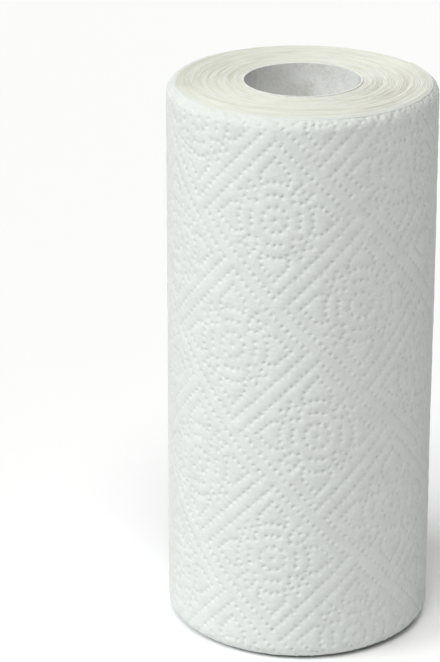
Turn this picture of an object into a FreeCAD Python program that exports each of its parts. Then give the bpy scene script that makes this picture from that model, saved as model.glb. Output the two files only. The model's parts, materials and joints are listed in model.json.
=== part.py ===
import FreeCAD, Part
import math
import os

os.makedirs("parts", exist_ok=True)

# A paper towel roll that stands on its end: a paperboard core tube with an
# embossed paper web wound on it. The origin is at the middle of the bottom
# end and +Z runs up the roll's axis.

# Driving dimensions, in millimetres and degrees.
ROLL_HEIGHT = 230.0        # width of the paper web
ROLL_DIAMETER = 109.2      # over the outermost turn, at its tail
CORE_BORE = 46.4           # inside diameter of the core tube
CORE_WALL = 0.7            # two plies of paperboard
TURN_THICKNESS = 0.6       # one loosely wound embossed turn, so also the step at the tail
TAIL_ANGLE = 30.0          # where the web ends, anticlockwise from +X seen from above
TOP_RIM_RADIUS = 5.0       # the outer turns lean in at the top end
BOTTOM_RIM_RADIUS = 6.5    # and a little further in at the bottom end
RIM_STEPS = 6              # turns that lean in one after another to round a rim
TURNS_PER_RIDGE = 3        # neighbouring turns whose edges stand up as one ridge
RIDGE_HEIGHT = 0.45        # from the valley between two ridges to a crest
CREST_DROP = 0.1           # crests lie this far inside the plain rings of each end
CORE_BORDER = 0.8          # plain ring of paper between the core and the first ridge
RIM_BORDER = 1.5           # plain ring between the last ridge and the rounded rim

# Sizes that follow from them.
core_radius = CORE_BORE / 2
winding_bore_radius = core_radius + CORE_WALL
after_tail_radius = ROLL_DIAMETER / 2 - TURN_THICKNESS
ridge_pitch = TURNS_PER_RIDGE * TURN_THICKNESS

ORIGIN = FreeCAD.Vector(0, 0, 0)
UP = FreeCAD.Vector(0, 0, 1)
ALONG_X = FreeCAD.Vector(1, 0, 0)


def point(radius, height):
    """A point of a section, which is drawn in the plane y = 0."""
    return FreeCAD.Vector(radius, 0, height)


def section_face(points):
    """The flat face inside a closed run of straight edges."""
    return Part.Face(Part.makePolygon(points + points[:1]))


def wound_turn(section, step):
    """Turn a section once round the axis, ending one step further out than it began.

    The turn is two half circles about two centres. They meet tangent to each
    other opposite the tail and a step apart at it, like the turns of a web.
    section(growth) gives the section's face, moved outwards by growth.
    """
    offset = step / 4
    first = section(0).revolve(ORIGIN, UP, 180)
    first.translate(ALONG_X * -offset)
    second = section(step / 2).revolve(ORIGIN, UP, 180)
    second.rotate(ORIGIN, UP, 180)
    second.translate(ALONG_X * offset)
    return first.fuse(second)


def rim_points(outer, end_height, radius, inward):
    """Round a rim from the end face to the wall. inward is -1 at the top and 1 at the bottom."""
    points = []
    for step in range(RIM_STEPS + 1):
        angle = math.radians(90 * step / RIM_STEPS)
        reach = outer - radius * (1 - math.sin(angle))
        points.append(point(reach, end_height + inward * radius * (1 - math.cos(angle))))
    return points


def wall_section(growth):
    """Section of the wound paper, with a rounded rim at its top and bottom."""
    inner = winding_bore_radius / 2
    outer = after_tail_radius + TURN_THICKNESS / 4 + growth
    top = rim_points(outer, ROLL_HEIGHT, TOP_RIM_RADIUS, -1)
    bottom = rim_points(outer, 0, BOTTOM_RIM_RADIUS, 1)
    return section_face([point(inner, ROLL_HEIGHT)] + top + bottom[::-1] + [point(inner, 0)])


def groove_section(growth, end_height, rim_radius, inward):
    """Section of what is cut from an end, to leave the turns' edges as ridges."""
    first = winding_bore_radius + CORE_BORDER + ridge_pitch / 4 + growth
    last = after_tail_radius - rim_radius - RIM_BORDER + growth
    turns = int((last - first) / ridge_pitch)
    outside = end_height - inward * RIDGE_HEIGHT
    crest = end_height + inward * CREST_DROP
    valley = crest + inward * RIDGE_HEIGHT
    points = [point(first, outside)]
    for turn in range(turns):
        valley_radius = first + (turn + 0.5) * ridge_pitch
        points.append(point(valley_radius, valley))
        if turn < turns - 1:
            points.append(point(valley_radius + ridge_pitch / 2, crest))
    points.append(point(first + turns * ridge_pitch, outside))
    return section_face(points)


def end_grooves(end_height, rim_radius, inward):
    """The spiral groove of one end of the roll, as a solid to cut away."""
    return wound_turn(
        lambda growth: groove_section(growth, end_height, rim_radius, inward), ridge_pitch
    )


def make_core_tube():
    """The paperboard tube, sawn off flush with the paper at both ends."""
    outside = Part.makeCylinder(winding_bore_radius, ROLL_HEIGHT)
    return outside.cut(Part.makeCylinder(core_radius, ROLL_HEIGHT))


def make_paper_winding():
    """All turns of the web as one solid, with its tail, its rims and its turned ends."""
    paper = wound_turn(wall_section, TURN_THICKNESS)
    paper = paper.cut(Part.makeCylinder(winding_bore_radius, ROLL_HEIGHT))
    paper = paper.cut(end_grooves(ROLL_HEIGHT, TOP_RIM_RADIUS, -1))
    paper = paper.cut(end_grooves(0, BOTTOM_RIM_RADIUS, 1))
    paper = paper.removeSplitter()
    paper.rotate(ORIGIN, UP, TAIL_ANGLE)
    return paper


make_core_tube().exportStep("parts/core_tube.step")
make_paper_winding().exportStep("parts/paper_winding.step")
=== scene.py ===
import json
import math

import bmesh
import bpy
import numpy as np
from bpy.props import FloatProperty, FloatVectorProperty, IntProperty, PointerProperty
from mathutils import Euler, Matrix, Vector
from mathutils.geometry import delaunay_2d_cdt
from mathutils.kdtree import KDTree


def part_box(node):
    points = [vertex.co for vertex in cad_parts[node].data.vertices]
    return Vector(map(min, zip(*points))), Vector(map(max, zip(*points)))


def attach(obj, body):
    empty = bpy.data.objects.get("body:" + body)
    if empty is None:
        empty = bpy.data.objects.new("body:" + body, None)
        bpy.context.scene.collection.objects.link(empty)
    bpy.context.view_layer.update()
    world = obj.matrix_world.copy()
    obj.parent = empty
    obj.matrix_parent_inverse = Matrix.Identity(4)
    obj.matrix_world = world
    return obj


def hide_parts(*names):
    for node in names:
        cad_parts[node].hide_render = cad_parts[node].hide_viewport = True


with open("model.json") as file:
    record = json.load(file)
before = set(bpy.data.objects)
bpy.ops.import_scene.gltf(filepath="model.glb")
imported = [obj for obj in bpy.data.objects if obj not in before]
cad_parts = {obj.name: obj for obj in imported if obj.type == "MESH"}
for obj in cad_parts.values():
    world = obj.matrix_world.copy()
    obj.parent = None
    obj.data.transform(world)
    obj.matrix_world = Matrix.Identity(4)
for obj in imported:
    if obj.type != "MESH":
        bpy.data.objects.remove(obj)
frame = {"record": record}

bl_info = {
    "name": "Paper towel roll",
    "version": (1, 0, 0),
    "blender": (4, 5, 0),
    "location": "3D View > Sidebar > Paper Roll",
    "description": "Dresses the roll's frame with embossed sheets, turned ends and a board core",
    "category": "Object",
}

MM = 0.001
FULL_TURN = 2 * math.pi
FRONT = -math.pi / 2  # the side that faces the viewer, as an angle from +X

PAPER_LOW, PAPER_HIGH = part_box("paper_winding")
CORE_LOW, CORE_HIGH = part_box("core_tube")
ROLL_HEIGHT = PAPER_HIGH.z - PAPER_LOW.z
TUBE_RADIUS = (CORE_HIGH.x - CORE_LOW.x) / 2
MOUNTS = {mount["name"]: mount for mount in frame["record"]["mounts"]}
BORE_RADIUS = MOUNTS["core_bore"]["dims"]["r_mm"] * MM


# Sizes and colours

class WebSizes(bpy.types.PropertyGroup):
    """The paper web and how it is wound."""

    turn: FloatProperty(
        name="Turn", description="Thickness of one loosely wound turn",
        default=0.6 * MM, unit="LENGTH", precision=5,
    )
    sheet: FloatProperty(
        name="Sheet thickness", description="Two plies pressed together",
        default=0.32 * MM, unit="LENGTH", precision=5,
    )
    sheet_length: FloatProperty(
        name="Sheet length", description="From one perforation to the next",
        default=230 * MM, unit="LENGTH",
    )
    radius: FloatProperty(
        name="Radius at the tail", description="Of the outermost turn, at its end",
        default=54.6 * MM, unit="LENGTH", precision=5,
    )
    tail_angle: FloatProperty(
        name="Tail angle", description="Where the web ends, anticlockwise from +X",
        default=math.radians(30), subtype="ANGLE",
    )
    tail_lift: FloatProperty(
        name="Tail lift", description="How far the loose hem stands off past its glue line",
        default=0.25 * MM, unit="LENGTH", precision=5,
    )
    hem: FloatProperty(
        name="Loose hem", description="From the glue line to the end of the web",
        default=14 * MM, unit="LENGTH",
    )
    top_rim: FloatProperty(
        name="Top rim", description="Radius of the rounded rim at the top",
        default=5 * MM, unit="LENGTH",
    )
    bottom_rim: FloatProperty(
        name="Bottom rim", description="Radius of the rounded rim at the bottom",
        default=6.5 * MM, unit="LENGTH",
    )
    rim_wrap: FloatProperty(
        name="Rim wrap", description="How far round a rim the outer sheet reaches",
        default=math.radians(66), subtype="ANGLE",
    )


class EmbossSizes(bpy.types.PropertyGroup):
    """The dotted diamond pattern pressed into the web."""

    cell_width: FloatProperty(
        name="Cell width", description="Across a diamond, corner to corner",
        default=70.0 * MM, unit="LENGTH",
    )
    cell_height: FloatProperty(
        name="Cell height", description="Up a diamond, corner to corner",
        default=71.8 * MM, unit="LENGTH",
    )
    first_across: FloatProperty(
        name="First cell across", description="A diamond's centre, round from the front",
        default=-11.6 * MM, unit="LENGTH",
    )
    first_up: FloatProperty(
        name="First cell up", description="A diamond's centre, up from the base",
        default=189.1 * MM, unit="LENGTH",
    )
    dot_radius: FloatProperty(
        name="Dot radius", description="Of one pressed dot at its mouth",
        default=1.2 * MM, unit="LENGTH", precision=5,
    )
    dot_depth: FloatProperty(
        name="Dot depth", description="From the sheet round a dot to its bottom",
        default=0.63 * MM, unit="LENGTH", precision=5,
    )
    groove_depth: FloatProperty(
        name="Groove depth", description="How far a line of dots draws the sheet in",
        default=0.22 * MM, unit="LENGTH", precision=5,
    )
    groove_width: FloatProperty(
        name="Groove width", description="How far from a dot the sheet still dips",
        default=1.6 * MM, unit="LENGTH", precision=5,
    )
    flute: FloatProperty(
        name="Rim flutes", description="Depth of the small pleats on the rims",
        default=0.42 * MM, unit="LENGTH", precision=5,
    )
    spacing: FloatProperty(
        name="Mesh spacing", description="Between points of the sheet away from the dots",
        default=1.32 * MM, unit="LENGTH", precision=5,
    )


class EndSizes(bpy.types.PropertyGroup):
    """The edges of the turns, as the two ends show them."""

    edge_height: FloatProperty(
        name="Edge height", description="From the gap between two turns to a turn's edge",
        default=0.4 * MM, unit="LENGTH", precision=5,
    )
    unevenness: FloatProperty(
        name="Unevenness", description="How much lower some turns lie than others",
        default=0.3 * MM, unit="LENGTH", precision=5,
    )
    columns: IntProperty(
        name="Columns", description="Points round the roll", default=420, min=64,
    )


class Colours(bpy.types.PropertyGroup):
    """Colours of the paper and the board."""

    paper: FloatVectorProperty(
        name="Paper", description="Face of the sheets", subtype="COLOR", size=3,
        default=(0.72, 0.748, 0.732),
    )
    paper_shade: FloatVectorProperty(
        name="Paper shade", description="Thinner places of the sheets", subtype="COLOR", size=3,
        default=(0.675, 0.70, 0.685),
    )
    edge: FloatVectorProperty(
        name="Edges", description="Edges of the turns", subtype="COLOR", size=3,
        default=(0.76, 0.77, 0.715),
    )
    # Dark end of the random streaks on the edges, and the painted shade in the gaps between turns
    edge_streaks_and_painted_gap_shade: FloatVectorProperty(
        name="Edge shade", description="Gaps between the turns", subtype="COLOR", size=3,
        default=(0.62, 0.63, 0.55),
    )
    board: FloatVectorProperty(
        name="Board", description="Core board", subtype="COLOR", size=3,
        default=(0.86, 0.87, 0.865),
    )
    board_fleck: FloatVectorProperty(
        name="Board flecks", description="Fibres and specks in the board", subtype="COLOR", size=3,
        default=(0.68, 0.68, 0.65),
    )


class StageSettings(bpy.types.PropertyGroup):
    """Camera and light."""

    pitch: FloatProperty(
        name="Pitch", description="How far the camera looks down",
        default=math.radians(21.35), subtype="ANGLE",
    )
    distance: FloatProperty(
        name="Distance", description="From the camera to the point it looks at",
        default=1.1776, unit="LENGTH",
    )
    aim: FloatVectorProperty(
        name="Aim", description="The point at the middle of the picture", subtype="XYZ", size=3,
        default=(-32.58 * MM, 0, 123.24 * MM),
    )
    lens: FloatProperty(
        name="Lens", description="Focal length in millimetres for a 36 mm frame", default=156.8,
    )
    key: FloatProperty(
        name="Key light", description="Strength of the light from the left", default=1.71,
    )
    key_side: FloatProperty(
        name="Key side", description="How far left of the front the key light stands",
        default=math.radians(72), subtype="ANGLE",
    )
    key_height: FloatProperty(
        name="Key height", description="How far above the floor the key light stands",
        default=math.radians(38), subtype="ANGLE",
    )
    top: FloatProperty(
        name="Top light", description="Strength of the light from above", default=1.86,
    )
    top_side: FloatProperty(
        name="Top side", description="How far left of the front the top light hangs",
        default=math.radians(9), subtype="ANGLE",
    )
    top_height: FloatProperty(
        name="Top height", description="How far above the floor the top light hangs",
        default=math.radians(64), subtype="ANGLE",
    )
    spread: FloatProperty(
        name="Light spread", description="How wide each light looks from the roll",
        default=math.radians(32), subtype="ANGLE",
    )
    back: FloatProperty(
        name="Back light", description="Strength of the low light from behind", default=1.15,
    )
    back_side: FloatProperty(
        name="Back side", description="How far left of the front the back light stands",
        default=math.radians(194), subtype="ANGLE",
    )
    back_height: FloatProperty(
        name="Back height", description="How far above the floor the back light stands",
        default=math.radians(13), subtype="ANGLE",
    )
    sky: FloatProperty(
        name="Sky", description="Strength of the light from all round", default=0.1,
    )


# Small helpers for curves, noise and meshes

NOISE_ROWS = 64
ROW_SHARE = 0.866  # rows of equal triangles stand this share of a side apart
SCATTER_STRAY = 0.14  # share of the spacing
TRIANGLES_INSIDE = 1  # asks for the triangles inside the border only
SAME_POINT = 1e-5  # in millimetres
WELD = 1e-6  # in metres


def smooth_noise(x, y, columns, seed):
    """Smooth noise from -1 to 1. It repeats after columns units of x and NOISE_ROWS of y."""
    table = np.random.default_rng(seed).uniform(-1, 1, (NOISE_ROWS, columns))
    column, row = np.floor(x).astype(int), np.floor(y).astype(int)
    u, v = x - column, y - row
    u, v = u * u * (3 - 2 * u), v * v * (3 - 2 * v)
    left, right = column % columns, (column + 1) % columns
    low, high = row % NOISE_ROWS, (row + 1) % NOISE_ROWS
    bottom = table[low, left] * (1 - u) + table[low, right] * u
    top = table[high, left] * (1 - u) + table[high, right] * u
    return bottom * (1 - v) + top * v


def points_along(corners, count):
    """count points spread evenly along a closed run of straight lines."""
    ring = np.array(list(corners) + [corners[0]], float)
    steps = np.linalg.norm(np.diff(ring, axis=0), axis=1)
    reached = np.concatenate([[0], np.cumsum(steps)])
    wanted = np.arange(count) * reached[-1] / count
    return np.stack([np.interp(wanted, reached, ring[:, i]) for i in (0, 1)], axis=1)


def turned(points, degrees):
    """Points of the plane, turned anticlockwise about the origin."""
    angle = math.radians(degrees)
    cos, sin = math.cos(angle), math.sin(angle)
    return np.asarray(points) @ np.array([[cos, sin], [-sin, cos]])


def both_sides(half):
    """A closed outline from its right half, which starts and ends on the upright axis."""
    return list(half) + [(-x, y) for x, y in half[-2:0:-1]]


def round_roll(radius, angle, level):
    """Points of the roll from arrays of radius, angle and level."""
    return np.stack([radius * np.cos(angle), radius * np.sin(angle), level], axis=-1)


def make_object(name, points, faces, material, attributes=None):
    """A smooth-shaded mesh object with its material and up to three named values for each point."""
    mesh = bpy.data.meshes.new(name)
    mesh.from_pydata([tuple(p) for p in points], [], [tuple(f) for f in faces])
    mesh.shade_smooth()
    mesh.materials.append(material)
    for label, values in (attributes or {}).items():
        padded = np.zeros((len(points), 3), np.float32)
        padded[:, :values.shape[1]] = values
        layer = mesh.attributes.new(label, "FLOAT_VECTOR", "POINT")
        layer.data.foreach_set("vector", padded.ravel())
    piece = bpy.data.objects.new(name, mesh)
    bpy.context.scene.collection.objects.link(piece)
    return piece


def flat_triangles(points, border):
    """Triangles over points of the plane. The first border points run round them, anticlockwise."""
    corners = [Vector(p) for p in points / MM]
    sides = [(i, (i + 1) % border) for i in range(border)]
    result = delaunay_2d_cdt(corners, sides, [], TRIANGLES_INSIDE, SAME_POINT)
    vertices, triangles, sources = result[0], result[2], result[3]
    if len(vertices) != len(points):
        raise RuntimeError("points of a flat mesh fell together")
    first = [source[0] for source in sources]
    return np.array([[first[i] for i in triangle] for triangle in triangles])


def edge_loop(low, high, step, side_step=None):
    """Points round the rectangle from low to high, anticlockwise from its low corner."""
    across = max(2, round((high[0] - low[0]) / step))
    up = max(2, round((high[1] - low[1]) / (side_step or step)))
    xs, ys = np.linspace(low[0], high[0], across + 1), np.linspace(low[1], high[1], up + 1)
    bottom = [(x, low[1]) for x in xs[:-1]]
    right = [(high[0], y) for y in ys[:-1]]
    top = [(x, high[1]) for x in xs[:0:-1]]
    left = [(low[0], y) for y in ys[:0:-1]]
    return np.array(bottom + right + top + left)


def scattered(low, high, spacing, seed):
    """Points in rows across a rectangle, each a little out of place."""
    row_step = spacing * ROW_SHARE
    rows = int((high[1] - low[1]) / row_step)
    columns = int((high[0] - low[0]) / spacing)
    row, column = np.mgrid[0:rows, 0:columns]
    stray = np.random.default_rng(seed).uniform(-SCATTER_STRAY, SCATTER_STRAY, (2, rows, columns))
    x = low[0] + (column + 0.25 + 0.5 * (row % 2) + stray[0]) * spacing
    y = low[1] + (row + 0.5 + stray[1]) * row_step
    return np.stack([x.ravel(), y.ravel()], axis=1)


def inside(points, low, high, margin):
    """The points that lie more than margin inside a rectangle."""
    kept = (points > np.array(low) + margin).all(axis=1) & (points < np.array(high) - margin).all(axis=1)
    return points[kept]


def point_tree(points):
    """A tree of flat points, to look up the near ones."""
    tree = KDTree(len(points))
    for index, (x, y) in enumerate(points):
        tree.insert((x, y, 0), index)
    tree.balance()
    return tree


# The pattern, in millimetres and degrees round the middle of one diamond

RING_RADIUS, RING_DOTS, RING_START = 5.2, 10, 9
ARC_RADIUS, ARC_STEP = 10.1, 15.5
DIAMOND_CORNER, DIAMOND_DOTS = 31.45, 60
PETAL = ((0, 24.7), (5.3, 19.0), (5.9, 16.4), (5.4, 13.7), (2.8, 14.9), (0, 15.3))
PETAL_DOTS = 14
TULIP = ((0, 10.5), (2.4, 12.5), (2.9, 15.0), (2.8, 17.9), (0, 16.3))

DRAWN_CELL = 71 * MM  # the cell that these sizes were drawn for
ROWS_EACH_WAY, COLUMNS_EACH_WAY = 8, 14
DOT_STRAY = 0.05 * MM
DOT_STRAY_SEED = 7


def diamond_dots():
    """The dots of one diamond: its outline, four petals, four tulips, arcs and a ring."""
    corner = DIAMOND_CORNER
    outline = points_along(((corner, 0), (0, corner), (-corner, 0), (0, -corner)), DIAMOND_DOTS)
    petal = points_along(both_sides(PETAL), PETAL_DOTS)
    tulip = both_sides(TULIP)
    arc = [turned([(0, ARC_RADIUS)], step)[0] for step in (-ARC_STEP, 0, ARC_STEP)]
    ring_angles = [RING_START + 360 / RING_DOTS * i for i in range(RING_DOTS)]
    ring = [turned([(RING_RADIUS, 0)], angle)[0] for angle in ring_angles]
    groups = [outline, ring, [(0, 0)]]
    for quarter in range(4):
        groups.append(turned(petal, 90 * quarter))
        groups.append(turned(arc, 90 * quarter))
        groups.append(turned(tulip, 90 * quarter + 45))
    return np.concatenate([np.asarray(group, float) for group in groups])


def pattern_dots(emboss, low, high):
    """All dots of the web between two corners. Diamonds stand in slanted rows, half a cell apart."""
    cell_size = np.array([emboss.cell_width, emboss.cell_height])
    cell = diamond_dots() * MM * cell_size / DRAWN_CELL
    half = cell_size / 2
    along_row, to_next_row = half * (1, -1), half * (-0.5, -1.5)
    first = np.array([emboss.first_across, emboss.first_up])
    dots = []
    for row in range(-ROWS_EACH_WAY, ROWS_EACH_WAY + 1):
        for column in range(-COLUMNS_EACH_WAY, COLUMNS_EACH_WAY + 1):
            centre = first + along_row * column + to_next_row * row
            if (centre > low - half).all() and (centre < high + half).all():
                dots.append(cell + centre)
    dots = np.concatenate(dots)
    return dots + np.random.default_rng(DOT_STRAY_SEED).normal(0, DOT_STRAY, dots.shape)


# The outer sheets

UNDER_TAIL = 20 * MM  # how far the turn below runs on under the tail
DOTS_PAST_EDGE = 5 * MM  # dots this far past a sheet's edge still draw it in
SHEET_SHARP_ANGLE = math.radians(75)

# Points of a sheet
RIM_SPACING = 0.62  # share of the spacing, on the rims
DOT_RINGS = ((0.42, 6), (0.86, 8))  # share of the dot's radius, and points
DOT_MARGIN = 0.2 * MM  # between a dot and the sheet's edge
DOT_CLEARANCE = 1.32 * MM  # between a dot's middle and a scattered point
EDGE_CLEARANCE = 0.45 * MM
WALL_SEED, BOTTOM_RIM_SEED, TOP_RIM_SEED = 11, 12, 13

# The perforation
PERFORATION_STEP = 9 * MM
PERFORATION_BOND = 1.3 * MM
CUT_LINES = (0.25 * MM, 0.6 * MM)  # lines of points beside it
CUT_CLEARANCE = 1.0 * MM
CUT_INSET = 0.5 * MM
CUT_WIDTH, CUT_DEPTH = 0.24 * MM, 0.34 * MM
BOND_SHARE = 0.25  # depth of a bond, as a share of a cut's

# Pressed dots
PIT_SLOPE = 1.15
PIT_VARIETY, PIT_SEED = 0.12, 3
PULL_STRENGTH = 1.1
PULL_REACH = 3  # times the groove's width

# Unevenness: waves round the roll, a wave's length up it, depth, start and seed
SHEET_WAVES = (
    (9, 38 * MM, 0.12 * MM, (20, 9), 21),
    (64, 6 * MM, 0.05 * MM, (90, 30), 22),
)

# Pleats of the rims, which sway to the side and fade in and out
FLUTES = 104
FLUTE_GROWTH = 1.3
SWAY, SWAY_WAVES, SWAY_ROW, SWAY_SEED = 2.2, 30, 3, 23
FADE, FADE_WAVES, FADE_ROW, FADE_SEED = 0.35, 50, 5, 24

# Torn end and loose hem
HEM_WAVE, HEM_WAVE_LENGTH, HEM_COLUMN, HEM_SEED = 0.35, 24 * MM, 5, 31
GLUE_DEPTH, GLUE_WIDTH = 0.16 * MM, 1.6 * MM
TEAR_WIDTH, TUFT_LENGTH = 0.8 * MM, 0.5 * MM
FRAY, FRAY_LENGTH, FRAY_COLUMN, FRAY_SEED = 0.12 * MM, 1.1 * MM, 2, 32
TAIL_COLUMNS = 8

# Wandering top and bottom edges: depth, length and seed
EDGE_REACH = 2.2 * MM
EDGE_WAVES = ((0.55 * MM, 11 * MM, 33), (0.28 * MM, 2.6 * MM, 34))
EDGE_COLUMNS, EDGE_START = 64, 200
TOP_EDGE_ROW, BOTTOM_EDGE_ROW = 7, 2

# Inner face, which isn't seen
INNER_SPACING, INNER_MARGIN, INNER_SEED = 7 * MM, 3 * MM, 15
PIT_ROOM = 0.75 * MM  # keeps it clear of the dots' pits
HEM_CLEARANCE = 4 * MM
TAIL_BLEND = 3 * MM  # the tail is backed by the rest of its turn
TAIL_GAP = 0.06 * MM


class Wrap:
    """Takes flat points of the web to the roll: across is round it, up is along its wall and rims."""

    def __init__(self, web):
        self.web = web
        self.reference = web.radius - web.turn / 3
        self.tail = self.reference * (web.tail_angle - FRONT)
        self.turn_length = FULL_TURN * self.reference
        self.low = web.bottom_rim - web.bottom_rim * web.rim_wrap
        self.high = ROLL_HEIGHT - web.top_rim + web.top_rim * web.rim_wrap

    def radius_at(self, across):
        """Radius of the web's face, which grows by one turn in each turn."""
        return self.web.radius + self.web.turn * (across - self.tail) / self.turn_length

    def lean(self, up):
        """Angles round the bottom and the top rim, zero on the straight wall."""
        web = self.web
        bottom = np.clip((web.bottom_rim - up) / web.bottom_rim, 0, None)
        top = np.clip((up - ROLL_HEIGHT + web.top_rim) / web.top_rim, 0, None)
        return bottom, top

    def place(self, flat, height):
        """Points of the roll for flat points and their heights off the web's face."""
        web = self.web
        across, up = flat[:, 0], flat[:, 1]
        bottom, top = self.lean(up)
        out = np.cos(bottom) * np.cos(top)
        rise = np.sin(top) - np.sin(bottom)
        inward = web.bottom_rim * (1 - np.cos(bottom)) + web.top_rim * (1 - np.cos(top))
        radius = self.radius_at(across) - inward + height * out
        level = np.clip(up, web.bottom_rim, ROLL_HEIGHT - web.top_rim)
        level = level + web.top_rim * np.sin(top) - web.bottom_rim * np.sin(bottom) + height * rise
        return round_roll(radius, across / self.reference + FRONT, PAPER_LOW.z + level)


def dot_rings(dots, radius):
    """Rings of points round each dot."""
    rings = []
    for share, count in DOT_RINGS:
        start = np.random.default_rng(count).uniform(0, FULL_TURN, len(dots))
        for step in range(count):
            angle = start + FULL_TURN * step / count
            rings.append(dots + np.stack([np.cos(angle), np.sin(angle)], axis=1) * share * radius)
    return rings


def cut_points(cut, side, low, high):
    """Two lines of points beside a perforation, on the sheet's side of it."""
    ups = np.arange(low[1] + CUT_INSET, high[1] - CUT_INSET, PERFORATION_BOND / 2)
    return [np.stack([np.full(len(ups), cut + side * distance), ups], axis=1) for distance in CUT_LINES]


def scatter_between(web, spacing, low, high, dots, cut):
    """Points between the dots, closer together on the rims, and clear of the perforation."""
    wall_low, wall_high = web.bottom_rim, ROLL_HEIGHT - web.top_rim
    fine = spacing * RIM_SPACING
    fields = [
        scattered((low[0], wall_low), (high[0], wall_high), spacing, WALL_SEED),
        scattered(low, (high[0], wall_low), fine, BOTTOM_RIM_SEED),
        scattered((low[0], wall_high), high, fine, TOP_RIM_SEED),
    ]
    scatter = inside(np.concatenate(fields), low, high, EDGE_CLEARANCE)
    scatter = scatter[np.abs(scatter[:, 0] - cut) >= CUT_CLEARANCE]
    tree = point_tree(dots)
    clear = [tree.find((x, y, 0))[2] > DOT_CLEARANCE for x, y in scatter]
    return scatter[np.array(clear)]


def sheet_points(wrap, emboss, low, high, dots, cut):
    """Flat points of a sheet: edge, dots with rings round them, lines beside the cut, and a scatter."""
    edge = edge_loop(low, high, emboss.spacing, PERFORATION_BOND / 2)
    dots = inside(dots, low, high, emboss.dot_radius + DOT_MARGIN)
    side = 1 if cut == low[0] else -1
    groups = [edge, dots, *dot_rings(dots, emboss.dot_radius), *cut_points(cut, side, low, high)]
    groups.append(scatter_between(wrap.web, emboss.spacing, low, high, dots, cut))
    return np.concatenate(groups), len(edge)


def dot_heights(emboss, flat, dots):
    """How far the pressed dots draw each flat point in: a wide dip and a small steep pit."""
    tree = point_tree(dots)
    pit_sizes = 1 + np.random.default_rng(PIT_SEED).normal(0, PIT_VARIETY, len(dots))
    reach = PULL_REACH * emboss.groove_width
    spread = 2 * emboss.groove_width ** 2
    heights = np.zeros(len(flat))
    for index, (x, y) in enumerate(flat):
        pull, pit = 0.0, 0.0
        for _, dot, distance in tree.find_range((x, y, 0), reach):
            pull += math.exp(-distance * distance / spread)
            if distance < emboss.dot_radius:
                pit = pit_sizes[dot] * (1 - (distance / emboss.dot_radius) ** PIT_SLOPE)
        dip = emboss.groove_depth * (1 - math.exp(-PULL_STRENGTH * pull))
        heights[index] = -dip - emboss.dot_depth * pit
    return heights


def rim_flutes(wrap, emboss, turn_share, up):
    """Small pleats, deepest where the sheet leans in most."""
    bottom, top = wrap.lean(up)
    lean = np.maximum(bottom, top) / wrap.web.rim_wrap
    sway = SWAY * smooth_noise(turn_share * SWAY_WAVES, SWAY_ROW, SWAY_WAVES, SWAY_SEED)
    fade = FADE * (1 - smooth_noise(turn_share * FADE_WAVES, FADE_ROW, FADE_WAVES, FADE_SEED))
    flutes = np.sin(turn_share * FULL_TURN * FLUTES + sway) - 1
    return 0.5 * emboss.flute * lean ** FLUTE_GROWTH * (1 - fade) * flutes


def sheet_heights(wrap, emboss, flat, dots):
    """Heights of flat points off the web's face: dots, soft unevenness, and flutes on the rims."""
    heights = dot_heights(emboss, flat, dots)
    turn_share, up = flat[:, 0] / wrap.turn_length, flat[:, 1]
    for waves, length, depth, start, seed in SHEET_WAVES:
        noise = smooth_noise(turn_share * waves + start[0], up / length + start[1], waves, seed)
        heights += depth * (noise - 1)
    return heights + rim_flutes(wrap, emboss, turn_share, up)


def at_bond(up):
    """Which places up the web lie at a bond between two cuts."""
    return (up / PERFORATION_STEP) % 1 < PERFORATION_BOND / PERFORATION_STEP


def perforation_depth(flat, cut):
    """A line of short cuts with narrow bonds between them."""
    near = np.exp(-(((flat[:, 0] - cut) / CUT_WIDTH) ** 2))
    return -CUT_DEPTH * near * np.where(at_bond(flat[:, 1]), BOND_SHARE, 1.0)


def tail_shape(wrap, flat):
    """Lift of the loose hem at the web's end, and the ragged line where it was torn off."""
    web = wrap.web
    up, past_end = flat[:, 1], flat[:, 0] - wrap.tail
    past_glue = past_end + web.hem
    wave = 1 + HEM_WAVE * smooth_noise(HEM_COLUMN, up / HEM_WAVE_LENGTH, TAIL_COLUMNS, HEM_SEED)
    bottom, top = wrap.lean(up)
    lift = web.tail_lift * np.clip(past_glue / web.hem, 0, 1) ** 2 * wave
    lift *= (np.cos(bottom) * np.cos(top)) ** 2
    lift -= GLUE_DEPTH * np.exp(-((past_glue / GLUE_WIDTH) ** 2))
    tuft = np.where(at_bond(up), TUFT_LENGTH, 0)
    fray = FRAY * smooth_noise(FRAY_COLUMN, up / FRAY_LENGTH, TAIL_COLUMNS, FRAY_SEED)
    return lift, np.exp(-((past_end / TEAR_WIDTH) ** 2)) * (tuft + fray)


def edge_waver(wrap, flat):
    """How far the sheet's top and bottom edges wander up and down."""
    across, up = flat[:, 0], flat[:, 1]
    near = np.minimum(up - wrap.low, wrap.high - up) / EDGE_REACH
    row = np.where(up > ROLL_HEIGHT / 2, TOP_EDGE_ROW, BOTTOM_EDGE_ROW)
    waver = 0
    for depth, length, seed in EDGE_WAVES:
        waver = waver + depth * smooth_noise(across / length + EDGE_START, row, EDGE_COLUMNS, seed)
    return waver * np.exp(-(near ** 2))


def worn_edges(wrap, flat, has_tail):
    """Flat points with wandering edges and a torn end, and the lift of the loose hem."""
    moved = flat.copy()
    moved[:, 1] += edge_waver(wrap, flat)
    if not has_tail:
        return moved, 0
    lift, tear = tail_shape(wrap, flat)
    moved[:, 0] += tear
    return moved, lift


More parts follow.
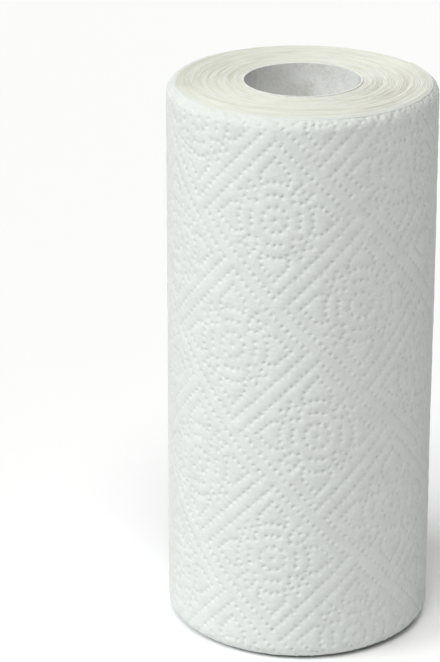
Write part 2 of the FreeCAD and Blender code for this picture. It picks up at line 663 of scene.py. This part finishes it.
def inner_face(wrap, flat, edge_heights, has_tail):
    """Points of the sheet's inner face, for flat points whose first ones lie on its edge."""
    web, edge_count = wrap.web, len(edge_heights)
    height = np.full(len(flat), edge_heights.mean())
    height[:edge_count] = edge_heights
    depth = np.full(len(flat), web.sheet)
    clear_of_hem = flat[edge_count:, 0] < wrap.tail - UNDER_TAIL - HEM_CLEARANCE
    depth[edge_count:] += np.where(clear_of_hem, PIT_ROOM, 0)
    if has_tail:
        near_tail = np.exp(-(((flat[:, 0] - wrap.tail) / TAIL_BLEND) ** 2))
        depth += near_tail * (web.turn - web.sheet - TAIL_GAP)
    moved, lift = worn_edges(wrap, flat, has_tail)
    return wrap.place(moved, height + lift - depth)


def close_sheet(outer, outer_triangles, inner, inner_triangles, edge_count):
    """A sheet's two faces joined by its edges. The edge's points come first in each."""
    start = len(outer)
    ring = np.arange(edge_count)
    following = np.roll(ring, -1)
    sides = np.stack([ring, start + ring, start + following, following], axis=1)
    faces = [*outer_triangles, *(inner_triangles[:, ::-1] + start), *sides]
    return np.concatenate([outer, inner]), faces


def make_sheet(name, wrap, emboss, start, end, cut, material):
    """One sheet of the outermost turn as a closed piece, from start to end, perforated at cut."""
    low, high = np.array((start, wrap.low)), np.array((end, wrap.high))
    has_tail = end == wrap.tail
    dots = pattern_dots(emboss, low - DOTS_PAST_EDGE, high + DOTS_PAST_EDGE)
    flat, edge_count = sheet_points(wrap, emboss, low, high, dots, cut)
    heights = sheet_heights(wrap, emboss, flat, dots) + perforation_depth(flat, cut)
    moved, lift = worn_edges(wrap, flat, has_tail)
    outer = wrap.place(moved, heights + lift)
    inner_scatter = inside(scattered(low, high, INNER_SPACING, INNER_SEED), low, high, INNER_MARGIN)
    inner_flat = np.concatenate([flat[:edge_count], inner_scatter])
    inner = inner_face(wrap, inner_flat, heights[:edge_count], has_tail)
    outer_triangles = flat_triangles(flat, edge_count)
    inner_triangles = flat_triangles(inner_flat, edge_count)
    points, faces = close_sheet(outer, outer_triangles, inner, inner_triangles, edge_count)
    piece = make_object(name, points, faces, material, {"web": np.concatenate([flat, inner_flat])})
    piece.data.set_sharp_from_angle(angle=SHEET_SHARP_ANGLE)
    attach(piece, "root")
    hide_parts("paper_winding")
    return piece


# The turned ends

ROWS_PER_TURN = 4
EDGE_PROFILE = (0.0, 0.8, 1.0, 0.62)  # from one gap between two turns towards the next
FIRST_TURN = 0.9  # it starts this share of a turn inside the tube's wall
LAST_TURN = 0.3  # the last ends this share past the outer sheet's edge
END_SLAB = 3.5 * MM
MOST_OF_RIM = 0.98  # stays short of where a rim would stand upright
SHORT_EDGE = 2e-5  # in metres

# Unevenness of the ends: waves round the roll, and for each turn outwards
TURN_WAVES = (90, 1.6)
BUNCHES = (14, 0.42)
GAP_DEPTHS = (18, 0.9)
TURN_LEVELS = (5, 0.7)
RIPPLES = (90, 1.3)
TOP_END_SEED, BOTTOM_END_SEED = 40, 60

WANDER, BUNCHING = 0.11 * MM, 0.22 * MM
GAP_SHARE = 0.55
RIPPLE_DEPTH = 0.05 * MM
CORE_SINK, CORE_SINK_TURNS = 0.5 * MM, 1.3
WHITE_REACH, WHITE_RIPPLE, WHITE_BUNCH = 0.42, 0.12, 0.1


def end_noise(share, turn, waves, seed):
    """Noise over an end of the roll, from -1 to 1."""
    around, outwards = waves
    return smooth_noise(share * around, turn * outwards, around, seed)


def end_face(name, web, ends, rim, top, material):
    """The edges of all turns at one end, as one spiral strip closed into a thin ring."""
    after_tail = web.radius - web.turn
    first = TUBE_RADIUS - FIRST_TURN * web.turn
    last = after_tail - rim * (1 - math.cos(web.rim_wrap)) + LAST_TURN * web.turn
    turns = round((last - first) / web.turn)
    pitch = (last - first) / turns
    rows = turns * ROWS_PER_TURN + 1
    row, column = np.mgrid[0:rows, 0:ends.columns + 1]
    share = column / ends.columns
    turn = row / ROWS_PER_TURN + share
    whole_turn = np.floor(row / ROWS_PER_TURN) + share
    crest = np.array(EDGE_PROFILE)[row % ROWS_PER_TURN]

    seed = TOP_END_SEED if top else BOTTOM_END_SEED
    wander = end_noise(share, turn, TURN_WAVES, seed)
    bunch = end_noise(share, turn, BUNCHES, seed + 1)
    depth = GAP_SHARE + GAP_SHARE * end_noise(share, whole_turn, GAP_DEPTHS, seed + 2)
    level = end_noise(share, whole_turn, TURN_LEVELS, seed + 3)
    ripple = end_noise(share, whole_turn, RIPPLES, seed + 4)

    even_radius = first + pitch * turn
    radius = np.where(row == 0, even_radius, even_radius + WANDER * wander + BUNCHING * bunch)
    past_rim = np.clip(radius - (after_tail + web.turn * share - rim), 0, rim * MOST_OF_RIM)
    drop = ends.edge_height * depth * (1 - crest) + 0.5 * ends.unevenness * (1 - level)
    drop += RIPPLE_DEPTH * (1 - ripple)
    drop += CORE_SINK * np.clip(1 - turn / CORE_SINK_TURNS, 0, 1)
    drop += rim - np.sqrt(rim ** 2 - past_rim ** 2)

    angle = web.tail_angle + FULL_TURN * share
    points = round_roll(radius, angle, PAPER_HIGH.z - drop if top else PAPER_LOW.z + drop)
    web_values = np.stack([radius, np.cos(angle), np.sin(angle)], axis=2)
    whiteness = np.clip((past_rim / rim + WHITE_RIPPLE * ripple + WHITE_BUNCH * bunch) / WHITE_REACH, 0, 1)
    # The second value is how deep a point lies in the gap between two turns; the edge material paints
    # shade there
    whiteness_and_gap_shade = np.stack([whiteness, (1 - crest) * depth], axis=2)
    values = {"web": web_values.reshape(-1, 3), "whiteness_and_gap_shade": whiteness_and_gap_shade.reshape(-1, 2)}
    faces = strip_faces(rows, ends.columns + 1, top)
    piece = make_object(name, points.reshape(-1, 3), faces, material, values)
    close_ring(piece.data, -END_SLAB if top else END_SLAB)
    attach(piece, "root")
    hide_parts("paper_winding")
    return piece


def strip_faces(rows, columns, outward_up):
    """Quads of a grid of points, rows by columns."""
    row, column = np.mgrid[0:rows - 1, 0:columns - 1]
    corner = (row * columns + column).ravel()
    quads = np.stack([corner, corner + columns, corner + columns + 1, corner + 1], axis=1)
    return quads if outward_up else quads[:, ::-1]


def close_ring(mesh, offset):
    """Weld a spiral strip to itself, and close it with walls and a flat back at offset."""
    work = bmesh.new()
    work.from_mesh(mesh)
    bmesh.ops.remove_doubles(work, verts=work.verts, dist=WELD)
    border = [edge for edge in work.edges if edge.is_boundary]
    wall = bmesh.ops.extrude_edge_only(work, edges=border)["geom"]
    levels = [vertex.co.z for vertex in work.verts]
    back = offset + (min(levels) if offset < 0 else max(levels))
    for item in wall:
        if isinstance(item, bmesh.types.BMVert):
            item.co.z = back
    rims = [item for item in wall if isinstance(item, bmesh.types.BMEdge)]
    bmesh.ops.bridge_loops(work, edges=rims)
    bmesh.ops.dissolve_degenerate(work, edges=work.edges, dist=SHORT_EDGE)
    bmesh.ops.recalc_face_normals(work, faces=work.faces)
    work.to_mesh(mesh)
    work.free()
    mesh.shade_smooth()


# The core

BOARD_EDGE_STEP, BOARD_SPACING, BOARD_MARGIN, BOARD_SEED = 1.6 * MM, 2.6 * MM, 1.2 * MM, 70
BOARD_INSET = 0.03 * MM  # keeps the grain out of the bore
BOARD_SHARP_ANGLE = math.radians(50)
GRAIN_DEPTH, GRAIN_WAVES, GRAIN_LENGTH, GRAIN_SEED = 0.03 * MM, 60, 2.6 * MM, 71

# The slanted joint between turns of the board strip
STRIP_LEAD = 104 * MM
STRIP_START = 31 * MM
STRIP_WINDINGS = range(-2, 4)
JOINT_DEPTH, JOINT_WIDTH = 0.16 * MM, 0.22 * MM
JOINT_STEP, JOINT_STEP_WIDTH, JOINT_STEP_REACH = 0.05 * MM, 0.3 * MM, 4 * MM
JOINT_LINES = (-1.0 * MM, -0.3 * MM, -0.1 * MM, 0.1 * MM, 0.3 * MM, 1.0 * MM)
JOINT_SPACING, JOINT_START = 0.6 * MM, 0.7 * MM
JOINT_MARGIN, JOINT_CLEARANCE = 0.6 * MM, 1.6 * MM

# The sawn ends
PLY_LINE, PLY_LINE_DEPTH = 0.05 * MM, 0.12 * MM
INNER_CORNER, OUTER_CORNER = 0.08 * MM, 0.02 * MM
OUTSIDE_INSET, OUTSIDE_START = 0.01 * MM, 0.9 * MM


def strip_joint_distance(across, up, length):
    """Signed distance of flat points from the slanted joint between turns of the board strip."""
    slope = STRIP_LEAD / length
    offset = (up - STRIP_START - across * slope) / STRIP_LEAD
    nearest = (offset - np.round(offset)) * STRIP_LEAD
    return nearest / math.sqrt(1 + slope * slope)


def joint_points(length, height):
    """Points beside the slanted joints of the board strip, close together across them."""
    slope = STRIP_LEAD / length
    groups = []
    along = np.arange(JOINT_START, length - JOINT_START, JOINT_SPACING)
    for winding in STRIP_WINDINGS:
        for distance in JOINT_LINES:
            ups = STRIP_START + winding * STRIP_LEAD + along * slope + distance * math.sqrt(1 + slope ** 2)
            groups.append(np.stack([along, ups], axis=1))
    return inside(np.concatenate(groups), (0, 0), (length, height), JOINT_MARGIN)


def board_radius(across, up, length):
    """Radius of the board's inner face, with its grain and the joint of its strip."""
    distance = strip_joint_distance(across, up, length)
    joint = JOINT_DEPTH * np.exp(-((distance / JOINT_WIDTH) ** 2))
    step = JOINT_STEP * np.tanh(distance / JOINT_STEP_WIDTH) * np.exp(-np.abs(distance) / JOINT_STEP_REACH)
    grain = smooth_noise(across / length * GRAIN_WAVES, up / GRAIN_LENGTH, GRAIN_WAVES, GRAIN_SEED)
    return BORE_RADIUS + joint + step + GRAIN_DEPTH * grain + BOARD_INSET


def make_core(material):
    """The board tube, with the slanted joint of its strip inside and two plies at its ends."""
    length = FULL_TURN * BORE_RADIUS
    low, high = (0, 0), (length, CORE_HIGH.z - CORE_LOW.z)
    edge = edge_loop(low, high, BOARD_EDGE_STEP)
    scatter = inside(scattered(low, high, BOARD_SPACING, BOARD_SEED), low, high, BOARD_MARGIN)
    away = np.abs(strip_joint_distance(scatter[:, 0], scatter[:, 1], length)) > JOINT_CLEARANCE
    flat = np.concatenate([edge, joint_points(*high), scatter[away]])
    across, up = flat[:, 0], flat[:, 1]
    angle = across / BORE_RADIUS + FRONT
    points = round_roll(board_radius(across, up, length), angle, CORE_LOW.z + up)
    triangles = flat_triangles(flat, len(edge))[:, ::-1]
    piece = make_object("core_board", points, triangles, material, {"web": points})
    close_core(piece.data)
    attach(piece, "root")
    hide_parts("core_tube")
    return piece


def close_core(mesh):
    """Weld the tube's inner wall and add its ends, with a fine line between the plies, and its outside."""
    work = bmesh.new()
    work.from_mesh(mesh)
    bmesh.ops.remove_doubles(work, verts=work.verts, dist=WELD)
    middle = (BORE_RADIUS + TUBE_RADIUS) / 2
    steps = (
        (BORE_RADIUS + INNER_CORNER, 0.0), (middle - PLY_LINE, 0.0), (middle, PLY_LINE_DEPTH),
        (middle + PLY_LINE, 0.0), (TUBE_RADIUS - OUTER_CORNER, 0.0),
        (TUBE_RADIUS - OUTSIDE_INSET, OUTSIDE_START),
    )
    rings = []
    for end in (CORE_LOW.z, CORE_HIGH.z):
        border = [e for e in work.edges if e.is_boundary and abs(e.verts[0].co.z - end) < WELD]
        inward = 1 if end == CORE_LOW.z else -1
        for radius, sink in steps:
            grown = bmesh.ops.extrude_edge_only(work, edges=border)["geom"]
            border = [item for item in grown if isinstance(item, bmesh.types.BMEdge)]
            for vertex in {v for e in border for v in e.verts}:
                flat = Vector((vertex.co.x, vertex.co.y)).normalized() * radius
                vertex.co = (flat.x, flat.y, end + inward * sink)
        rings += border
    bmesh.ops.bridge_loops(work, edges=rings)
    bmesh.ops.recalc_face_normals(work, faces=work.faces)
    work.to_mesh(mesh)
    work.free()
    mesh.shade_smooth()
    mesh.set_sharp_from_angle(angle=BOARD_SHARP_ANGLE)


# Materials

# A noise is its waves for each metre round the roll and up it, its detail and its roughness
CRINKLES = ((430, 640, 0), 2, 0.6)
CREPE = ((2400, 420, 0), 3, 0.6)
FIBRES = ((1500, 1500, 0), 6, 0.75)
CLOUDS = ((110, 110, 0), 4, 0.6)
# On the ends the waves are outwards, and then twice round the roll
STREAKS = ((900, 2.4, 2.4), 4, 0.6)
PATCHES = ((380, 1.5, 1.5), 3, 0.55)
FUZZ = ((5200, 60, 60), 4, 0.7)
# In the board they are along each axis
FLECKS = ((900, 900, 900), 5, 0.7)
MOTTLE = ((90, 90, 90), 3, 0.6)

# A bump is its depth and its strength
CRINKLE_BUMP = (0.4 * MM, 0.7)
CREPE_BUMP = (0.06 * MM, 0.55)
FIBRE_BUMP = (0.05 * MM, 0.5)
FUZZ_BUMP = (0.08 * MM, 0.6)
FLECK_BUMP = (0.05 * MM, 0.5)

# Values of the noise where a run of colour starts and ends
CLOUD_RUN = (0.3, 0.62)
STREAK_RUN = (0.1, 0.3)
FLECK_RUN = (0.1, 0.27)

TISSUE_FINISH = {
    "Roughness": 0.92,
    "Specular IOR Level": 0.25,
    "Subsurface Weight": 0.12,
    "Subsurface Radius": (1.0, 0.95, 0.85),
    "Subsurface Scale": 0.5 * MM,
}
EDGE_FINISH = {
    "Roughness": 0.95,
    "Specular IOR Level": 0.2,
    "Subsurface Weight": 0.2,
    "Subsurface Radius": (1.0, 0.9, 0.6),
    "Subsurface Scale": 0.6 * MM,
}
BOARD_FINISH = {"Roughness": 0.85, "Specular IOR Level": 0.3}
FLOOR_FINISH = {"Base Color": (0.92, 0.925, 0.94, 1), "Roughness": 0.9}


def new_material(name, finish):
    """A material with nodes, its node tree, and its shader with a finish."""
    material = bpy.data.materials.new(name)
    material.use_nodes = True
    shader = material.node_tree.nodes["Principled BSDF"]
    for label, value in finish.items():
        shader.inputs[label].default_value = value
    return material, material.node_tree, shader


def add_node(tree, kind, **settings):
    """A new node with its settings."""
    node = tree.nodes.new(kind)
    for key, value in settings.items():
        setattr(node, key, value)
    return node


def piece_values(tree, name):
    """The named values that a piece's points carry."""
    attribute = add_node(tree, "ShaderNodeAttribute", attribute_name=name, attribute_type="GEOMETRY")
    return attribute.outputs["Vector"]


def web_noise(tree, noise_kind):
    """Noise over the points that a piece carries as its web."""
    scale, detail, roughness = noise_kind
    scaled = add_node(tree, "ShaderNodeVectorMath", operation="MULTIPLY")
    scaled.inputs[1].default_value = scale
    tree.links.new(piece_values(tree, "web"), scaled.inputs[0])
    noise = add_node(tree, "ShaderNodeTexNoise")
    noise.inputs["Scale"].default_value = 1.0
    noise.inputs["Detail"].default_value = detail
    noise.inputs["Roughness"].default_value = roughness
    tree.links.new(scaled.outputs[0], noise.inputs["Vector"])
    return noise.outputs["Fac"]


def product(tree, first, second):
    """Two values multiplied."""
    both = add_node(tree, "ShaderNodeMath", operation="MULTIPLY")
    tree.links.new(first, both.inputs[0])
    tree.links.new(second, both.inputs[1])
    return both.outputs[0]


def colour_between(tree, factor, low, high, run):
    """A colour that goes from low to high as the factor goes through its run."""
    ramp = add_node(tree, "ShaderNodeValToRGB")
    for element, position, colour in zip(ramp.color_ramp.elements, run, (low, high)):
        element.position = position
        element.color = (*colour, 1)
    tree.links.new(factor, ramp.inputs["Fac"])
    return ramp.outputs["Color"]


def blend(tree, factor, first, second):
    """A colour between a socket's, where the factor is 0, and a fixed one."""
    mix = add_node(tree, "ShaderNodeMix", data_type="RGBA")
    colour_inputs = [socket for socket in mix.inputs if socket.type == "RGBA"]
    tree.links.new(factor, mix.inputs["Factor"])
    tree.links.new(first, colour_inputs[0])
    colour_inputs[1].default_value = (*second, 1)
    return next(socket for socket in mix.outputs if socket.type == "RGBA")


def add_bump(tree, height, bump_kind, normal=None):
    """A bump of a height, over an earlier bump if one is given."""
    bump = add_node(tree, "ShaderNodeBump")
    bump.inputs["Distance"].default_value, bump.inputs["Strength"].default_value = bump_kind
    tree.links.new(height, bump.inputs["Height"])
    if normal is not None:
        tree.links.new(normal, bump.inputs["Normal"])
    return bump.outputs["Normal"]


def tissue_material(colours):
    """Soft white tissue: crinkles, fine creping, loose fibres and a little light passing through."""
    material, tree, shader = new_material("tissue_face", TISSUE_FINISH)
    clouds = web_noise(tree, CLOUDS)
    colour = colour_between(tree, clouds, colours.paper_shade, colours.paper, CLOUD_RUN)
    tree.links.new(colour, shader.inputs["Base Color"])
    normal = add_bump(tree, web_noise(tree, CRINKLES), CRINKLE_BUMP)
    normal = add_bump(tree, web_noise(tree, CREPE), CREPE_BUMP, normal)
    normal = add_bump(tree, web_noise(tree, FIBRES), FIBRE_BUMP, normal)
    tree.links.new(normal, shader.inputs["Normal"])
    return material


def edge_material(colours):
    """Cut edges of the turns: cream, with painted shade in the gaps between them, fine darker streaks, and
    whiter out at the rim.
    """
    material, tree, shader = new_material("turn_edges", EDGE_FINISH)
    whiteness_and_gap_shade = add_node(tree, "ShaderNodeSeparateXYZ")
    tree.links.new(piece_values(tree, "whiteness_and_gap_shade"), whiteness_and_gap_shade.inputs[0])
    whiteness, painted_gap_shade = whiteness_and_gap_shade.outputs[:2]
    streaks = product(tree, web_noise(tree, STREAKS), web_noise(tree, PATCHES))
    colour = colour_between(tree, streaks, colours.edge_streaks_and_painted_gap_shade, colours.edge, STREAK_RUN)
    # Painted shade, darkest at the bottom of each gap between turns
    colour = blend(tree, painted_gap_shade, colour, colours.edge_streaks_and_painted_gap_shade)
    colour = blend(tree, whiteness, colour, colours.paper)
    tree.links.new(colour, shader.inputs["Base Color"])
    fuzz = add_bump(tree, web_noise(tree, FUZZ), FUZZ_BUMP)
    tree.links.new(fuzz, shader.inputs["Normal"])
    return material


def board_material(colours):
    """Grey recycled board: flecked and faintly mottled."""
    material, tree, shader = new_material("core_board", BOARD_FINISH)
    flecks = web_noise(tree, FLECKS)
    both = product(tree, flecks, web_noise(tree, MOTTLE))
    colour = colour_between(tree, both, colours.board_fleck, colours.board, FLECK_RUN)
    tree.links.new(colour, shader.inputs["Base Color"])
    tree.links.new(add_bump(tree, flecks, FLECK_BUMP), shader.inputs["Normal"])
    return material


# The stage

FLOOR_HALF = 6.0
LIGHT_DISTANCE = 3.0
KEY_COLOUR = (1.0, 1.015, 1.025)
TOP_COLOUR = (1.0, 0.988, 0.94)
FRAME_WIDTH = 36
NEAREST, FARTHEST = 0.01, 50


def make_floor():
    """A wide pale floor under the roll."""
    material = new_material("pale_floor", FLOOR_FINISH)[0]
    corners = [(x * FLOOR_HALF, y * FLOOR_HALF, 0) for x, y in ((-1, -1), (1, -1), (1, 1), (-1, 1))]
    floor = make_object("floor", corners, [(0, 1, 2, 3)], material)


def add_light(scene, name, strength, colour, side, height, spread):
    """A wide soft light far off, side to the left of the front and height above the floor."""
    lamp = bpy.data.lights.new(name, "SUN")
    lamp.energy, lamp.angle, lamp.color = strength, spread, colour
    light = bpy.data.objects.new(name, lamp)
    light.rotation_euler = Euler((math.pi / 2 - height, 0, -side))
    light.location = light.rotation_euler.to_matrix() @ Vector((0, 0, LIGHT_DISTANCE))
    scene.collection.objects.link(light)


def make_lights(scene, settings):
    """A soft key light at the left, one above, one low behind, and an even sky."""
    lights = (
        ("key_light", settings.key, KEY_COLOUR, settings.key_side, settings.key_height),
        ("top_light", settings.top, TOP_COLOUR, settings.top_side, settings.top_height),
        ("back_light", settings.back, TOP_COLOUR, settings.back_side, settings.back_height),
    )
    for light in lights:
        add_light(scene, *light, settings.spread)
    world = bpy.data.worlds.new("sky")
    world.use_nodes = True
    background = world.node_tree.nodes["Background"]
    background.inputs["Color"].default_value = (1, 1, 1, 1)
    background.inputs["Strength"].default_value = settings.sky
    scene.world = world
    scene.view_settings.view_transform = "Standard"


def make_camera(scene, settings):
    """The camera, which looks along +Y and down."""
    lens = bpy.data.cameras.new("camera")
    lens.lens, lens.sensor_width = settings.lens, FRAME_WIDTH
    lens.clip_start, lens.clip_end = NEAREST, FARTHEST
    camera = bpy.data.objects.new("camera", lens)
    back = Vector((0, -math.cos(settings.pitch), math.sin(settings.pitch)))
    camera.location = Vector(settings.aim) + back * settings.distance
    camera.rotation_euler = Euler((math.pi / 2 - settings.pitch, 0, 0))
    scene.collection.objects.link(camera)
    scene.camera = camera


# Operators and panel

class PAPERROLL_OT_outer_sheets(bpy.types.Operator):
    """Make the embossed sheets of the outermost turn"""

    bl_idname = "paperroll.outer_sheets"
    bl_label = "Outer Sheets"

    def execute(self, context):
        scene = context.scene
        wrap = Wrap(scene.paperroll_web)
        emboss = scene.paperroll_emboss
        material = tissue_material(scene.paperroll_colours)
        perforation = wrap.tail - wrap.web.sheet_length
        under_tail = wrap.tail - wrap.turn_length - UNDER_TAIL
        make_sheet("last_sheet", wrap, emboss, perforation, wrap.tail, perforation, material)
        make_sheet("sheet_before", wrap, emboss, under_tail, perforation, perforation, material)
        return {"FINISHED"}


class PAPERROLL_OT_turned_ends(bpy.types.Operator):
    """Make the spiral edges of the turns at both ends"""

    bl_idname = "paperroll.turned_ends"
    bl_label = "Turned Ends"

    def execute(self, context):
        scene = context.scene
        web, ends = scene.paperroll_web, scene.paperroll_ends
        material = edge_material(scene.paperroll_colours)
        end_face("top_turns", web, ends, web.top_rim, True, material)
        end_face("bottom_turns", web, ends, web.bottom_rim, False, material)
        return {"FINISHED"}


class PAPERROLL_OT_core(bpy.types.Operator):
    """Make the board tube that the paper is wound on"""

    bl_idname = "paperroll.core"
    bl_label = "Core Tube"

    def execute(self, context):
        make_core(board_material(context.scene.paperroll_colours))
        return {"FINISHED"}


class PAPERROLL_OT_stage(bpy.types.Operator):
    """Set the floor, the lights and the camera"""

    bl_idname = "paperroll.stage"
    bl_label = "Stage"

    def execute(self, context):
        settings = context.scene.paperroll_stage
        make_floor()
        make_lights(context.scene, settings)
        make_camera(context.scene, settings)
        return {"FINISHED"}


class PAPERROLL_PT_panel(bpy.types.Panel):
    """The roll's sizes, colours and steps."""

    bl_label = "Paper Roll"
    bl_idname = "PAPERROLL_PT_panel"
    bl_space_type = "VIEW_3D"
    bl_region_type = "UI"
    bl_category = "Paper Roll"

    def draw(self, context):
        for label, group_name, operator in PANEL_ROWS:
            box = self.layout.box()
            box.label(text=label)
            group = getattr(context.scene, group_name)
            for name in group.bl_rna.properties.keys():
                if name not in ("rna_type", "name"):
                    box.prop(group, name)
            if operator:
                box.operator(operator)


PANEL_ROWS = (
    ("Web", "paperroll_web", None),
    ("Embossing", "paperroll_emboss", "paperroll.outer_sheets"),
    ("Ends", "paperroll_ends", "paperroll.turned_ends"),
    ("Colours", "paperroll_colours", "paperroll.core"),
    ("Stage", "paperroll_stage", "paperroll.stage"),
)

GROUPS = {
    "paperroll_web": WebSizes,
    "paperroll_emboss": EmbossSizes,
    "paperroll_ends": EndSizes,
    "paperroll_colours": Colours,
    "paperroll_stage": StageSettings,
}

CLASSES = (
    *GROUPS.values(),
    PAPERROLL_OT_outer_sheets,
    PAPERROLL_OT_turned_ends,
    PAPERROLL_OT_core,
    PAPERROLL_OT_stage,
    PAPERROLL_PT_panel,
)


def register():
    """Add the classes and the scene's settings."""
    for item in CLASSES:
        bpy.utils.register_class(item)
    for name, group in GROUPS.items():
        setattr(bpy.types.Scene, name, PointerProperty(type=group))


def unregister():
    """Take the settings and the classes away again."""
    for name in GROUPS:
        delattr(bpy.types.Scene, name)
    for item in reversed(CLASSES):
        bpy.utils.unregister_class(item)


def main():
    """Build everything."""
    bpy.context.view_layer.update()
    register()
    bpy.ops.paperroll.core()
    bpy.ops.paperroll.turned_ends()
    bpy.ops.paperroll.outer_sheets()
    bpy.ops.paperroll.stage()


if __name__ == "__main__":
    main()
